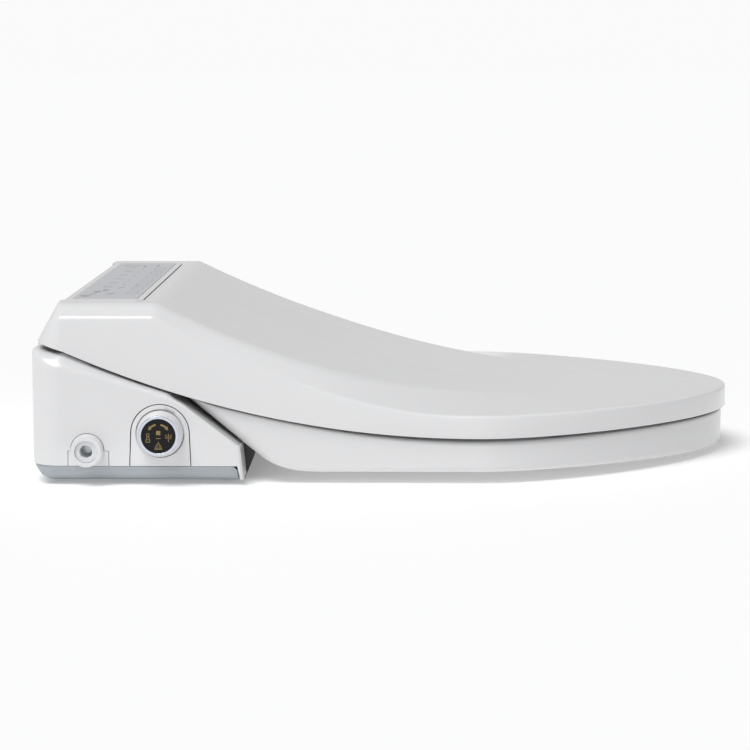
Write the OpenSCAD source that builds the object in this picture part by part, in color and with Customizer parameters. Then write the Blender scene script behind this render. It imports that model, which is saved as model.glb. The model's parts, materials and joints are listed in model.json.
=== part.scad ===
// Electric bidet seat: a seat ring and lid hinged on a control housing that holds the
// water heater, wash nozzles, dryer and deodoriser.
// Frame: +X towards the front tip, +Y to the seated user's left, +Z up. The origin is the
// midpoint between the two bowl bolts, on the plane that the base rests on.

/* [Housing] */
// Half width of the housing across its side walls
housing_half = 195; // [192:1:200]
// Rear wall of the housing, behind the bowl bolts
rear_x = -55; // [-60:1:-54]
// Height of the panel that the touch label lies on
deck_top = 127; // [126:0.5:127.5]
// Wall thickness of the housing and base mouldings
wall = 3; // [2.5:0.5:3]
// Height of the band that the base shows below the side walls
band_h = 13.9; // [12:0.1:14]
// Radius of the rear corners, seen from above
corner_r = 22; // [15:1:26]

/* [Lid] */
// Half width of the lid
lid_half = 190; // [188:1:192]
// Front tip of the lid, ahead of the bowl bolts
tip_x = 465; // [455:1:475]
// Wall thickness of the lid
lid_wall = 3; // [2.5:0.1:3]
// Front edge of the cut-out that leaves the control panel bare
cut_x = 24.3; // [24:0.1:25]
// Half width of the cut-out
cut_half = 154.3; // [154.2:0.1:154.6]

/* [Seat] */
// Gap between the outlines of lid and seat
seat_inset = 3; // [2:0.5:5]
// Height of the seat's rim above the base plane, at the sides
seat_top_z = 31.6; // [31:0.1:31.8]
// Wall thickness of the seat
seat_wall = 3; // [2.5:0.1:3]
// Half width of the opening
opening_half = 104; // [95:1:110]
// Rear end of the opening
opening_rear_x = 128; // [124:1:135]
// Front end of the opening
opening_front_x = 404; // [395:1:410]

/* [Hinge] */
// Position of the hinge line behind the bolts
hinge_x = -31; // [-31.5:0.1:-30.5]
// Height of the hinge line
hinge_z = 116.5; // [116.2:0.1:116.6]
// Radius of the hinge pins
pin_r = 5; // [4:0.1:5]
// Radial clearance of the hinge pins and shafts
play = 0.05; // [0.02:0.01:0.09]

/* [Dial and inlet] */
// Position of the dial along the housing
dial_x = 38.6; // [38:0.1:39]
// Height of the dial
dial_z = 37.4; // [37:0.1:38]
// Radius of the knob at its foot
knob_r = 16.8; // [16:0.1:17]
// Height of the knob above the side wall
knob_h = 11.6; // [11:0.1:12]
// Position of the water inlet along the housing
inlet_x = -13.6; // [-14:0.1:-13]
// Height of the water inlet
inlet_z = 25.3; // [25:0.1:26]
// Radius of the inlet bore
inlet_bore_r = 4.55; // [4.5:0.05:4.6]

/* [Nozzles] */
// Angle of the nozzles below the horizontal
nozzle_tilt = 30; // [29:0.5:31]
// Radius of the nozzle tubes
nozzle_r = 6; // [5.5:0.1:6]
// Distance of each nozzle from the middle
nozzle_y = 11; // [10.5:0.1:11.5]
// Gear module of the nozzle racks and pinions
gear_m = 1; // [1:1:1]
// Teeth on each pinion
pinion_teeth = 12; // [12:1:12]

/* [Mounting] */
// Distance between the two bowl bolts
bolt_spacing = 140; // [130:1:150]
// Radius of the slots for the bowl bolts
bolt_slot_r = 4.2; // [3.5:0.1:4.5]
// Length of each slot from end to end
slot_len = 30; // [20:1:34]

/* [Hidden] */
$fn = 64;

gap = 0.4;                       // between a panel and the hole that it fills
seat_half = lid_half - seat_inset;
bowed_x = 268;                   // where the sides end and the rounded front begins
rim_end_x = 250;                 // where the lid's bevelled edge has come down level
side_y = -housing_half;          // the side wall with the dial and the inlet

// ---- curves ----
function bez(p, t) =
  pow(1 - t, 3) * p[0] + 3 * pow(1 - t, 2) * t * p[1]
  + 3 * (1 - t) * t * t * p[2] + pow(t, 3) * p[3];
// The rounded front of lid and seat in plan, drawn in by d.
function front_curve(d) =
  [[bowed_x, lid_half - d], [bowed_x + 59, lid_half - d], [tip_x - d, 86 - d / 3], [tip_x - d, 0]];
// Share s of the lid's length: its sides up to side_share, then its front up to the tip, 1.
side_share = 0.5;
tip_share = 0.985;
function front_at(d, s) =
  bez(front_curve(d), (min(s, tip_share) - side_share) / (1 - side_share));
// Height of the lid's lower edge, its rim and its crease at a distance x.
function lid_low(x) = 33.2 + 66.2 * pow(max(0, bowed_x - x) / 308, 2.075);
function lid_rim(x) = x < 36 ? 119.4 : 50 + 69.4 * pow(max(0, rim_end_x - x) / 214, 1.75);
function lid_crease(x) = x < 36 ? 129 : 50.6 + 78.4 * pow(max(0, 390 - x) / 354, 2.25);
// Catmull-Rom curve through points, at t counted in points.
function rom(p, t) =
  let (
    i = min(floor(t), len(p) - 2),
    u = t - i,
    a = p[max(i - 1, 0)],
    b = p[i],
    c = p[i + 1],
    d = p[min(i + 2, len(p) - 1)]
  )
  0.5 * (2 * b + (c - a) * u + (2 * a - 5 * b + 4 * c - d) * u * u
    + (3 * b - a - 3 * c + d) * u * u * u);
// The crease between the lid's bevel and its top, seen from above.
crease_path = [
  [cut_x, 178.5], [36, 179], [88, 181], [150, 173], [190, 158], [230, 138],
  [270, 116], [320, 88], [362, 50], [378, 3]
];

// ---- loft: a closed tube through sections of equal length ----
function quad(a, b, c, d) = [[a, b, c], [a, c, d]];
function ring_faces(m, i, j) =
  joined([for (k = [0 : m - 1]) quad(i * m + k, i * m + (k + 1) % m, j * m + (k + 1) % m, j * m + k)]);
function joined(lists) = [for (l = lists) for (e = l) e];

// ---- profiles in the XZ plane ----
function at_hinge(r, a) = [hinge_x + r * cos(a), hinge_z + r * sin(a)];
strip_foot_z = 4;                // bottom of the strips on both sides of the fascia
housing_outline = [
  [rear_x, band_h], [rear_x, 98], [-40, 86.5], [-17.8, 80.9], [17, 71.5], [47, 62.3],
  [56.4, 57.3], [95.6, 27.4], [98.1, strip_foot_z], [95.5, strip_foot_z], [95.5, band_h]
];
bump_r = 55;                     // the bump's front is round about the hinge line
bump_outline = concat(
  [[rear_x, 92], [rear_x, 98], [-36.5, deck_top]],
  [for (a = [11 : -10 : -39]) at_hinge(bump_r, a)],
  [[0, 70], [rear_x + 1, 70]]
);

// Draws a 2D shape given in X and Z, from y0 to y1.
module along_y(y0, y1) {
  translate([0, y1, 0]) rotate([90, 0, 0]) linear_extrude(y1 - y0) children();
}
// A box between two corners.
module box(a, b) {
  translate(a) cube(b - a);
}
// A round bar along Y from y0 to y1.
module bar(x, z, r, y0, y1) {
  translate([x, y1, z]) rotate([90, 0, 0]) cylinder(r = r, h = y1 - y0);
}
// Both sides of a piece that repeats on the two sides of the middle.
module both() {
  children();
  mirror([0, 1, 0]) children();
}
// A rectangle in plan whose rear corners are round.
module plan(x0, x1, half, r) {
  union() {
    translate([x0 + r, -half]) square([x1 - x0 - r, 2 * half]);
    translate([x0, r - half]) square([2 * r, 2 * half - 2 * r]);
    for (s = [-1, 1]) translate([x0 + r, s * (half - r)]) circle(r);
  }
}

// ---- root: casings ----
screw_spots = [[-40, 160], [84, 176]];
fascia_half = 163;
module side_holes() {
  // the arch that holds the dial panel
  along_y(side_y - 1, side_y + wall + 1) dial_arch(21);
  // the inlet and the tab below it
  bar(inlet_x, inlet_z, 12.2, side_y - 1, side_y + wall + 1);
  box([-27.6, side_y - 1, band_h - 2], [2, side_y + wall + 1, 24.9]);
  // the filter bay and the release button, on the other side
  box([-32.4, housing_half - wall - 1, 17.6], [2.4, housing_half + 1, 52.4]);
  box([59.6, housing_half - wall - 1, 15.6], [80.4, housing_half + 1, 26.4]);
}
module dial_arch(r) {
  polygon(concat(
    [for (a = [0 : 6 : 180]) [dial_x + r * cos(a), dial_z + r * sin(a)]],
    [[dial_x - r - 1, band_h], [dial_x + r + 1, band_h]]
  ));
}
module housing_cover() {
  color("white")
  difference() {
    union() {
      intersection() {
        along_y(-housing_half, housing_half) polygon(housing_outline);
        linear_extrude(140) plan(rear_x, 110, housing_half, corner_r);
      }
      along_y(-153.5, 153.5) polygon(bump_outline);
    }
    difference() {
      union() {
        intersection() {
          along_y(wall - housing_half, housing_half - wall)
            polygon([
              [rear_x + wall, -1], [rear_x + wall, 94], [-41, 83.3], [-18.6, 77.8], [16, 68.4],
              [45.6, 59.3], [54.7, 54.6], [92.6, 25.6], [94.6, 9], [95.5, -1]
            ]);
          translate([0, 0, -2])
            linear_extrude(140) plan(rear_x + wall, 110, housing_half - wall, corner_r - wall);
        }
        along_y(wall - 153.5, 153.5 - wall)
          polygon(concat(
            [[rear_x + wall, 60], [rear_x + wall, 97], [-35, deck_top - wall]],
            [for (a = [8 : -10 : -32]) at_hinge(bump_r - wall, a)],
            [[5, 60]]
          ));
      }
      // screw posts
      for (p = screw_spots, s = [-1, 1])
        translate([p[0], s * p[1], 3.2]) cylinder(r = 5, h = 85);
    }
    for (p = screw_spots, s = [-1, 1])
      translate([p[0], s * p[1], 3]) cylinder(r = 1.7, h = 14);
    side_holes();
    // the dark fascia fills the middle of the front
    box([90, -fascia_half - gap, -1], [110, fascia_half + gap, 28.2]);
    // hinge pins
    both() bar(hinge_x, hinge_z, pin_r + play, 145, 160);
    // mains cord gland
    translate([rear_x - 1, 150, 30]) rotate([0, 90, 0]) cylinder(r = 8 + play, h = wall + 2);
    // display and keypad wiring
    box([-10, -60, deck_top - wall - 1], [10, -20, deck_top + 1]);
  }
}
// The base: a tray whose sides curve in below the housing.
base_rear_x = rear_x + 1;
base_front_x = 93.5;
tuck = 30;                       // how far the bottom edge is drawn in from the side walls
plate_half = 112;
plate_h = 5;
module base_section(inset) {
  half = housing_half - inset;
  near = [for (a = [0 : 15 : 90]) [half - tuck + tuck * sin(a), band_h - (band_h - inset) * cos(a)]];
  far = [for (i = [len(near) - 1 : -1 : 0]) [-near[i][0], near[i][1]]];
  polygon(concat(near, far));
}
module along_x(x0, x1) {
  translate([x0, 0, 0]) rotate([90, 0, 90]) linear_extrude(x1 - x0) children();
}
module base_tray() {
  color([0.72, 0.75, 0.77])
  difference() {
    union() {
      difference() {
        intersection() {
          along_x(base_rear_x, base_front_x) base_section(0);
          along_y(-housing_half, housing_half)
            polygon([
              [base_rear_x, band_h - 0.3], [base_rear_x + 2, band_h - 2], [-40, 0],
              [base_front_x - 1, 0], [base_front_x, 2], [base_front_x, band_h - 3],
              [base_front_x - 3, band_h - 0.3]
            ]);
          linear_extrude(20) plan(base_rear_x, 110, housing_half, corner_r);
        }
        difference() {
          translate([0, 0, 0.01]) along_x(-37, base_front_x - wall) base_section(wall);
          for (p = screw_spots, s = [-1, 1])
            translate([p[0], s * p[1], 0]) cylinder(r = 5.5, h = 3.2);
        }
      }
      box([-46, -plate_half - 4, 0], [50, plate_half + 4, plate_h + gap + 3]);
    }
    // channel for the mounting plate, open at the rear
    box([rear_x - 5, -plate_half - gap, -1], [43.4, plate_half + gap, plate_h + gap]);
    // clearance for screws, with sunk heads, and pockets for the pads
    for (p = screw_spots, s = [-1, 1]) translate([p[0], s * p[1], -1]) cylinder(r = 2, h = 20);
    for (s = [-1, 1]) translate([78, s * 120, -1]) cylinder(r = 9, h = 2.5);
    // ways out for the nozzles and the warm air
    box([82, -24, -1], [96, 24, 20]);
    box([88, 51, 4.5], [96, 89, 20]);
  }
}
module base_screws() {
  color("silver")
  for (p = screw_spots, s = [-1, 1])
    translate([p[0], s * p[1], 0.6]) cylinder(r = 1.65, h = 14);
}
module base_pads() {
  color([0.2, 0.2, 0.2])
  for (s = [-1, 1]) translate([78, s * 120, 0]) cylinder(r = 8.8, h = 1.5);
}
module front_fascia() {
  color([0.08, 0.08, 0.09])
  difference() {
    union() {
      along_y(-fascia_half, fascia_half)
        polygon([
          [97, 0], [104, 17], [104, 20], [95.9, 27.6], [92, 27.6], [94, 24.6],
          [101, 18.6], [101, 17.6], [94.2, 1]
        ]);
      // closed ends
      both() along_y(fascia_half - wall, fascia_half)
        polygon([[97, 0], [104, 17], [104, 20], [95.9, 27.6], [92, 27.6], [94.2, 14], [94.2, 0]]);
    }
    // windows for the nozzles and the warm air
    box([80, -24, -1], [110, 24, 21]);
    box([80, 49, 4], [110, 91, 17.4]);
  }
}

// ---- root: control panel ----
module panel_frame() {
  color([0.93, 0.93, 0.94])
  difference() {
    box([-34, -153.5, deck_top], [23, 153.5, 129]);
    box([-29.2, -147.2, 128.4], [18.2, 147.2, 130]);
    box([-10, -60, 120], [10, -20, 131]);
  }
}
module panel_label() {
  color([0.77, 0.77, 0.79])
  difference() {
    box([-29, -147, 128.4], [18, 147, 129.2]);
    translate([-16.5, 129, 128]) cylinder(r = 7.2, h = 2);
  }
}
module display_window() {
  color([0.1, 0.1, 0.12]) translate([-16.5, 129, 128.4]) cylinder(r = 7, h = 0.9);
}
module panel_board() {
  color("seagreen") box([-20, -140, 120.4], [18, 140, 122]);
}

// ---- dial ----
module dial_panel() {
  color([0.9, 0.9, 0.91])
  difference() {
    along_y(side_y, side_y + wall) dial_arch(21 - gap);
    bar(dial_x, dial_z, 3 + play, side_y - 1, side_y + wall + 1);
  }
}
module dial_encoder() {
  color([0.25, 0.26, 0.28])
  difference() {
    bar(dial_x, dial_z, 10, side_y + wall, side_y + wall + 12);
    bar(dial_x, dial_z, 3 + play, side_y, side_y + wall + 8.5);
  }
}
knob_face_y = side_y - knob_h;
module dial_knob() {
  color([0.92, 0.92, 0.93])
  difference() {
    translate([dial_x, knob_face_y, dial_z])
      rotate([-90, 0, 0]) cylinder(r1 = 15, r2 = knob_r, h = knob_h - 0.3);
    bar(dial_x, dial_z, 14.3, knob_face_y - 1, knob_face_y + 2);
    bar(dial_x, dial_z, 12.3, knob_face_y - 1, knob_face_y + 6);
    bar(dial_x, dial_z, 3, knob_face_y + 7, side_y);
  }
}
module dial_ring() {
  color([0.72, 0.75, 0.8])
  difference() {
    bar(dial_x, dial_z, 14.3, knob_face_y - 0.4, knob_face_y + 2);
    bar(dial_x, dial_z, 12.3, knob_face_y - 2, knob_face_y + 3);
  }
}
module dial_shaft() {
  color("silver") bar(dial_x, dial_z, 3, knob_face_y + 7, side_y + wall + 8);
}
module dial_face() {
  color([0.06, 0.06, 0.07]) bar(dial_x, dial_z, 12.1, knob_face_y - 0.2, knob_face_y + 3);
}
// Gilt marks on the face, drawn in X and Z about its centre.
module dial_marks() {
  for (s = [-1, 1]) {
    difference() {
      circle(9.2);
      circle(7.2);
      translate([-20, -20]) square([40, 23]);
      translate([s < 0 ? -1.6 : -20, -1]) square([21.6, 22]);
    }
  }
  translate([-1.5, 1]) square([3, 3]);
  translate([-2, -2.6]) square([4, 0.8]);
  translate([-7.6, -1]) difference() { circle(2.6); circle(1.8); }
  translate([7.4, -1]) difference() { circle(2.6); circle(1.8); }
  translate([0, -7]) polygon([[-2.6, -1.8], [2.6, -1.8], [0, 2.4]]);
}
module dial_icons() {
  color([0.72, 0.56, 0.28])
  along_y(knob_face_y - 0.35, knob_face_y - 0.2) translate([dial_x, dial_z]) dial_marks();
}

// ---- water inlet ----
water_r = 3;                     // radius of the waterways
module inlet_panel() {
  color([0.92, 0.92, 0.93])
  difference() {
    union() {
      box([-27.6 + gap, side_y, band_h], [2 - gap, side_y + wall, 24.9 - gap]);
      translate([inlet_x, side_y - 8.5, inlet_z])
        rotate([-90, 0, 0]) cylinder(r1 = 11, r2 = 11.9, h = 8.5);
      bar(inlet_x, inlet_z, 11.3, side_y - 1, side_y + wall);
    }
    bar(inlet_x, inlet_z, 8, side_y - 10, side_y + wall + 1);
  }
}
module inlet_nipple() {
  color([0.66, 0.67, 0.69])
  difference() {
    bar(inlet_x, inlet_z, 7.9, side_y - 7, side_y + 25);
    bar(inlet_x, inlet_z, inlet_bore_r, side_y - 8, side_y + 6);
    bar(inlet_x, inlet_z, water_r, side_y, side_y + 26);
  }
}
module inlet_strainer() {
  color([0.8, 0.81, 0.83]) bar(inlet_x, inlet_z, water_r - play, side_y + 6.5, side_y + 8);
}

// ---- hinge ----
module hinge_pins() {
  color("silver") both() bar(hinge_x, hinge_z, pin_r, 136, 184);
}
module seat_damper() {
  color([0.3, 0.3, 0.32]) bar(hinge_x, hinge_z, 7, 66, 135.9);
}
module lid_damper() {
  color([0.3, 0.3, 0.32]) bar(hinge_x, hinge_z, 7, -135.9, -66);
}

// ---- lid ----
lid_stations = 26;
function crease_at(s) =
  s <= side_share
    ? rom(crease_path, (len(crease_path) - 4) * s / side_share)
    : rom(crease_path, len(crease_path) - 4 + 3 * (s - side_share) / (1 - side_share));
function lid_section(s) =
  let (
    cr = crease_at(s),
    o = s <= side_share ? [cr[0], lid_half] : front_at(0, s),
    i = s <= side_share ? [cr[0], lid_half - lid_wall] : front_at(lid_wall, s),
    zl = lid_low(o[0]),
    zr = lid_rim(o[0]),
    zc = lid_crease(cr[0]),
    ci = cr[1] * (1 - 2 / lid_half)
  )
  [
    [o[0], -o[1], zl], [o[0], -o[1], zr], [cr[0], -cr[1], zc],
    [cr[0], cr[1], zc], [o[0], o[1], zr], [o[0], o[1], zl],
    [i[0], i[1], zl], [i[0], i[1], zr - 1.5], [cr[0], ci, zc - lid_wall],
    [cr[0], -ci, zc - lid_wall], [i[0], -i[1], zr - 1.5], [i[0], -i[1], zl]
  ];
module lid_front() {
  n = lid_stations;
  e = n * 12;                    // first point of the last section
  points = joined([for (k = [0 : n]) lid_section(k / n)]);
  rear_cap = joined([for (k = [0 : 4]) quad(k + 1, k, 11 - k, 10 - k)]);
  tip_cap = joined([
    quad(e, e + 1, e + 4, e + 5), quad(e + 1, e + 2, e + 3, e + 4), quad(e + 11, e, e + 5, e + 6),
    quad(e + 10, e + 11, e + 6, e + 7), quad(e + 9, e + 10, e + 7, e + 8)
  ]);
  polyhedron(
    points,
    concat(joined([for (k = [0 : n - 1]) ring_faces(12, k, k + 1)]), rear_cap, tip_cap),
    convexity = 6
  );
}
// Side view of a rear arm, round about the hinge line at its rear foot.
module arm_side(d) {
  polygon(concat(
    [[cut_x + (d > 0 ? 1 : 0), 129 - d], [-36 + d * 0.6, 129 - d]],
    [for (a = [200 : 15 : 230]) at_hinge(19 - d, a)],
    [for (x = [(d > 0 ? -40 : -30) : 11 : 14]) [x, lid_low(x) - (d > 0 ? 20 : 0)]],
    [[cut_x + (d > 0 ? 1 : 0), lid_low(cut_x) - (d > 0 ? 20 : 0)]]
  ));
}
module lid_arm() {
  difference() {
    union() {
      lid_arm_shell();
      // the outer lug
      bar(hinge_x, hinge_z, 9, 176, lid_half - lid_wall);
    }
    bar(hinge_x, hinge_z, pin_r + play, cut_half - 1, 184.5);
  }
}
module lid_arm_shell() {
  difference() {
    intersection() {
      along_y(cut_half, lid_half) arm_side(0);
      along_x(-60, cut_x + 1)
        polygon([
          [cut_half, 60], [lid_half, 60], [lid_half, 119.4], [178.5, 129], [cut_half, 129]
        ]);
    }
    intersection() {
      along_y(cut_half + 3.2, lid_half - lid_wall) arm_side(lid_wall);
      along_x(-60, cut_x + 1)
        polygon([
          [cut_half + 3.2, 40], [lid_half - lid_wall, 40], [lid_half - lid_wall, 117.9],
          [176.6, 129 - lid_wall], [cut_half + 3.2, 129 - lid_wall]
        ]);
    }
  }
}
module lid_shell() {
  color("gainsboro")
  union() {
    lid_front();
    both() lid_arm();
  }
}
lid_bumper_spots = [[150, 120], [330, 100]];
bumper_root_r = 9;
function inside_z(x) = lid_crease(x) - lid_wall;
module lid_bumpers() {
  color([0.55, 0.56, 0.58])
  for (p = lid_bumper_spots, s = [-1, 1])
    translate([p[0], s * p[1], seat_z(p[0]) + 0.9])
      cylinder(r1 = 5, r2 = bumper_root_r, h = inside_z(p[0] + bumper_root_r + 1) - seat_z(p[0]) - 1.2);
}

// ---- seat ----
seat_rear_x = 52.5;              // top corner of the slanted rear face
seat_heel_x = 107.2;             // bottom corner of that face
seat_heel_z = 20.7;
lid_gap = 1.6;                   // from the seat's top up to the lid's edge, along the sides
function seat_z(x) = max(seat_top_z, lid_low(x) - lid_gap);
function seat_under(x) =
  x <= 150 ? 8.1 + 12.6 * pow((150 - x) / (150 - seat_heel_x), 2.4)
  : x <= 270 ? 8.1
  : 8.1 - 5.1 * pow((x - 270) / (tip_x - 270), 2);
top_xs = [seat_rear_x, 80, 110, 145, 185, 240, 330, tip_x + 5];
under_xs = [seat_heel_x, 113, 120, 130, 150, 270, 330, 390, 430, tip_x + 5];
// Outline of the seat seen from above, drawn in by d.
seat_corner_r = 24;
function seat_plan(d) =
  let (
    r = seat_corner_r - d,
    c = [seat_rear_x + seat_corner_r, seat_half - seat_corner_r],
    half = concat(
      [for (a = [180 : -15 : 90]) [c[0] + r * cos(a), c[1] + r * sin(a)]],
      [for (t = [0 : 0.08 : 0.97]) bez(front_curve(seat_inset + d), t)]
    ),
    n = len(half)
  )
  concat(half, [[tip_x - seat_inset - d, 0]], [for (i = [n - 1 : -1 : 0]) [half[i][0], -half[i][1]]]);
// The opening, a long oval, grown by d.
function opening(d) =
  let (
    a = (opening_front_x - opening_rear_x) / 2,
    m = (opening_front_x + opening_rear_x) / 2
  )
  [for (t = [0 : 10 : 350]) [m + (a + d) * cos(t), (opening_half + d) * sin(t) * (1 - 0.12 * cos(t))]];
module seat_block(inset, top_drop, under_lift, rear_in) {
  intersection() {
    linear_extrude(90) polygon(seat_plan(inset));
    along_y(-seat_half, seat_half)
      polygon(concat(
        [for (x = top_xs) [x + (x == seat_rear_x ? rear_in : 0), seat_z(x) - top_drop]],
        [for (i = [len(under_xs) - 1 : -1 : 0])
          let (x = under_xs[i])
          [x + (i == 0 ? rear_in : 0), seat_under(x) + under_lift]]
      ));
  }
}
module seat_top() {
  color([0.88, 0.88, 0.89])
  difference() {
    seat_block(0, 0, 0, 0);
    difference() {
      translate([0, 0, -0.01]) seat_block(seat_wall, seat_wall, -6, 4);
      linear_extrude(90) polygon(opening(seat_wall));
    }
    translate([0, 0, -1]) linear_extrude(90) polygon(opening(0));
  }
}
module seat_bottom() {
  color([0.82, 0.83, 0.84])
  difference() {
    intersection() {
      seat_block(seat_wall + 0.3, seat_wall + 1, 0, 5.5);
      along_y(-seat_half, seat_half)
        polygon(concat(
          [for (x = under_xs) [x + 1, seat_under(x) + 2.5]],
          [for (i = [len(under_xs) - 1 : -1 : 0]) [under_xs[i] + 1, seat_under(under_xs[i]) - 3]]
        ));
    }
    translate([0, 0, -1]) linear_extrude(90) polygon(opening(seat_wall + 0.3));
  }
}
module seat_heater() {
  color([0.75, 0.5, 0.3])
  difference() {
    intersection() {
      seat_block(12, seat_wall + 0.2, 0, 0);
      along_y(-seat_half, seat_half)
        polygon(concat(
          [for (x = [150, 185, 240, 330, 445]) [x, seat_z(x) - seat_wall - 0.2]],
          [for (x = [445, 330, 240, 185, 150]) [x, seat_z(x) - seat_wall - 1]]
        ));
    }
    linear_extrude(90) polygon(opening(12));
  }
}
// Two arms carry the seat on the hinge pins, inside the lid's arms.
seat_boss_r = 8;
module seat_arms() {
  color([0.85, 0.85, 0.86])
  both() difference() {
    union() {
      bar(hinge_x, hinge_z, seat_boss_r, 160, 174);
      along_y(160, 174)
        polygon([
          at_hinge(seat_boss_r, 90), at_hinge(seat_boss_r, 270), [-14, 113], [10, 96], [30, 80],
          [seat_rear_x + 1.5, seat_z(seat_rear_x) - 0.3], [80, seat_z(80)], [80, seat_z(80) + 9],
          [40, 92], [14, 112], [-12, 124.5]
        ]);
    }
    bar(hinge_x, hinge_z, pin_r + play, 159, 175);
    along_y(158, 176)
      polygon([
        [seat_rear_x - 0.2, 40], [seat_rear_x - 0.2, seat_z(seat_rear_x)], [80, seat_z(80)], [81, 40]
      ]);
  }
}
seat_bumper_spots = [[190, 118], [320, 106]];
module seat_bumpers() {
  color([0.6, 0.61, 0.63])
  for (p = seat_bumper_spots, s = [-1, 1])
    translate([p[0], s * p[1], 0]) cylinder(r = 9, h = seat_under(p[0] + 9) - 0.1);
}
module seat_sensor() {
  color([0.35, 0.4, 0.36]) box([225, -160, seat_under(225) + 2.6], [260, -132, seat_under(225) + 6]);
}

// ---- nozzles: drawn along their own axis, s forwards and n upwards ----
nozzle_exit = [90, 0, 15];
nozzle_len = 100;
rack_drop = 7.8;                 // the racks' pitch line below the tube's axis
pinion_s = 1 - nozzle_len + 26.5 * PI * gear_m;  // below a tooth of the rack
pinion_r = gear_m * pinion_teeth / 2;
module nozzle_frame() {
  translate(nozzle_exit) rotate([0, nozzle_tilt, 0]) children();
}
module rack_2d(length) {
  pitch = PI * gear_m;
  square([length, 1]);
  for (i = [0 : floor(length / pitch) - 1])
    translate([(i + 0.5) * pitch, 0])
      polygon([[-0.95, 0.01], [0.95, 0.01], [0.35, -1.9], [-0.35, -1.9]]);
}
module nozzle_tube(y) {
  color([0.86, 0.87, 0.88])
  nozzle_frame() {
    translate([-nozzle_len, y, 0]) rotate([0, 90, 0]) cylinder(r = nozzle_r, h = nozzle_len);
    difference() {
      translate([-nozzle_len + 1, y + 2, -rack_drop + 1])
        rotate([90, 0, 0]) linear_extrude(4) rack_2d(nozzle_len - 4);
      translate([-nozzle_len, y, 0]) rotate([0, 90, 0]) cylinder(r = nozzle_r - 1, h = nozzle_len);
    }
    translate([-nozzle_len + 1, y - 2, -rack_drop + 1.5]) cube([nozzle_len - 4, 4, 2.4]);
  }
}
module wash_nozzle() nozzle_tube(-nozzle_y);
module bidet_nozzle() nozzle_tube(nozzle_y);
module nozzle_tip(y, holes) {
  color([0.93, 0.94, 0.95])
  nozzle_frame()
  difference() {
    translate([0, y, 0]) rotate([0, 90, 0]) cylinder(r = nozzle_r - 0.1, h = 4);
    for (i = [1 : holes])
      translate([2, y + (i - (holes + 1) / 2) * 2, 3]) cylinder(r = 0.5, h = 5, $fn = 16);
  }
}
module wash_tip() nozzle_tip(-nozzle_y, 3);
module bidet_tip() nozzle_tip(nozzle_y, 5);
// A pinion with plain trapezoid teeth and ample backlash.
module pinion(y, motor_side) {
  color([0.8, 0.78, 0.7])
  nozzle_frame() translate([pinion_s, y, -rack_drop - pinion_r]) rotate([90, 0, 0]) {
    translate([0, 0, -2]) linear_extrude(4) {
      circle(pinion_r - 1.25);
      for (i = [0 : pinion_teeth - 1])
        rotate(pinion_phase + i * 360 / pinion_teeth)
          polygon([
            [pinion_r - 1.6, -1], [pinion_r - 1.6, 1], [pinion_r + 0.7, 0.32], [pinion_r + 0.7, -0.32]
          ]);
    }
    translate([0, 0, motor_side > 0 ? -6 : -3]) cylinder(r = 1.5, h = 9);
  }
}
// A gap of the pinion faces the rack's tooth.
pinion_phase = 90 + 180 / pinion_teeth;
module wash_pinion() pinion(-nozzle_y, -1);
module bidet_pinion() pinion(nozzle_y, 1);
module nozzle_motors() {
  color([0.6, 0.62, 0.64])
  both() nozzle_frame()
  difference() {
    translate([pinion_s, 33, -rack_drop - pinion_r]) rotate([90, 0, 0]) cylinder(r = 6.8, h = 15);
    translate([pinion_s, 25, -rack_drop - pinion_r]) rotate([90, 0, 0]) cylinder(r = 1.5 + play, h = 9);
  }
}
module nozzle_carrier() {
  color([0.4, 0.42, 0.45])
  nozzle_frame()
  difference() {
    translate([-88, -21, -11.5]) cube([60, 42, 19]);
    for (s = [-1, 1]) {
      translate([-90, s * nozzle_y, 0]) rotate([0, 90, 0]) cylinder(r = nozzle_r + play, h = 70);
      translate([-90, s * nozzle_y - 2.4, -10.2]) cube([70, 4.8, 9]);
    }
  }
}

// ---- water ----
hose_r = 5.6;
module solenoid_valve() {
  color([0.3, 0.45, 0.6])
  difference() {
    union() {
      box([-28, -170, 14], [2, -134, 37]);
      translate([-12, -146, 36]) cylinder(r = 10, h = 26);
    }
    bar(inlet_x, inlet_z, water_r, -171, -160);
    bar(inlet_x, inlet_z, hose_r + play, -140, -133);
  }
}
module inlet_hose() {
  color([0.85, 0.85, 0.82])
  difference() {
    bar(inlet_x, inlet_z, hose_r, -140, -108.1);
    bar(inlet_x, inlet_z, water_r, -141, -107);
  }
}
module water_tank() {
  color([0.9, 0.88, 0.8])
  difference() {
    box([-36, -108, 11], [34, -50, 57]);
    box([-33.5, -105.5, 13.5], [31.5, -52.5, 54.5]);
    bar(inlet_x, inlet_z, water_r, -109, -100);
    bar(20, 45, water_r, -60, -49);
    translate([-5, -79, 50]) cylinder(r = 4.1, h = 10);
  }
}
module tank_heater() {
  color("silver") translate([-5, -79, 18]) cylinder(r = 4, h = 44);
}
module diverter_valve() {
  color([0.35, 0.36, 0.4])
  difference() {
    box([6, -44, 34], [30, -24, 56]);
    bar(20, 45, hose_r + play, -45, -38);
  }
}
module wash_hose() {
  color([0.85, 0.85, 0.82])
  difference() {
    bar(20, 45, hose_r, -49.9, -38);
    bar(20, 45, water_r, -51, -37);
  }
}

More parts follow.
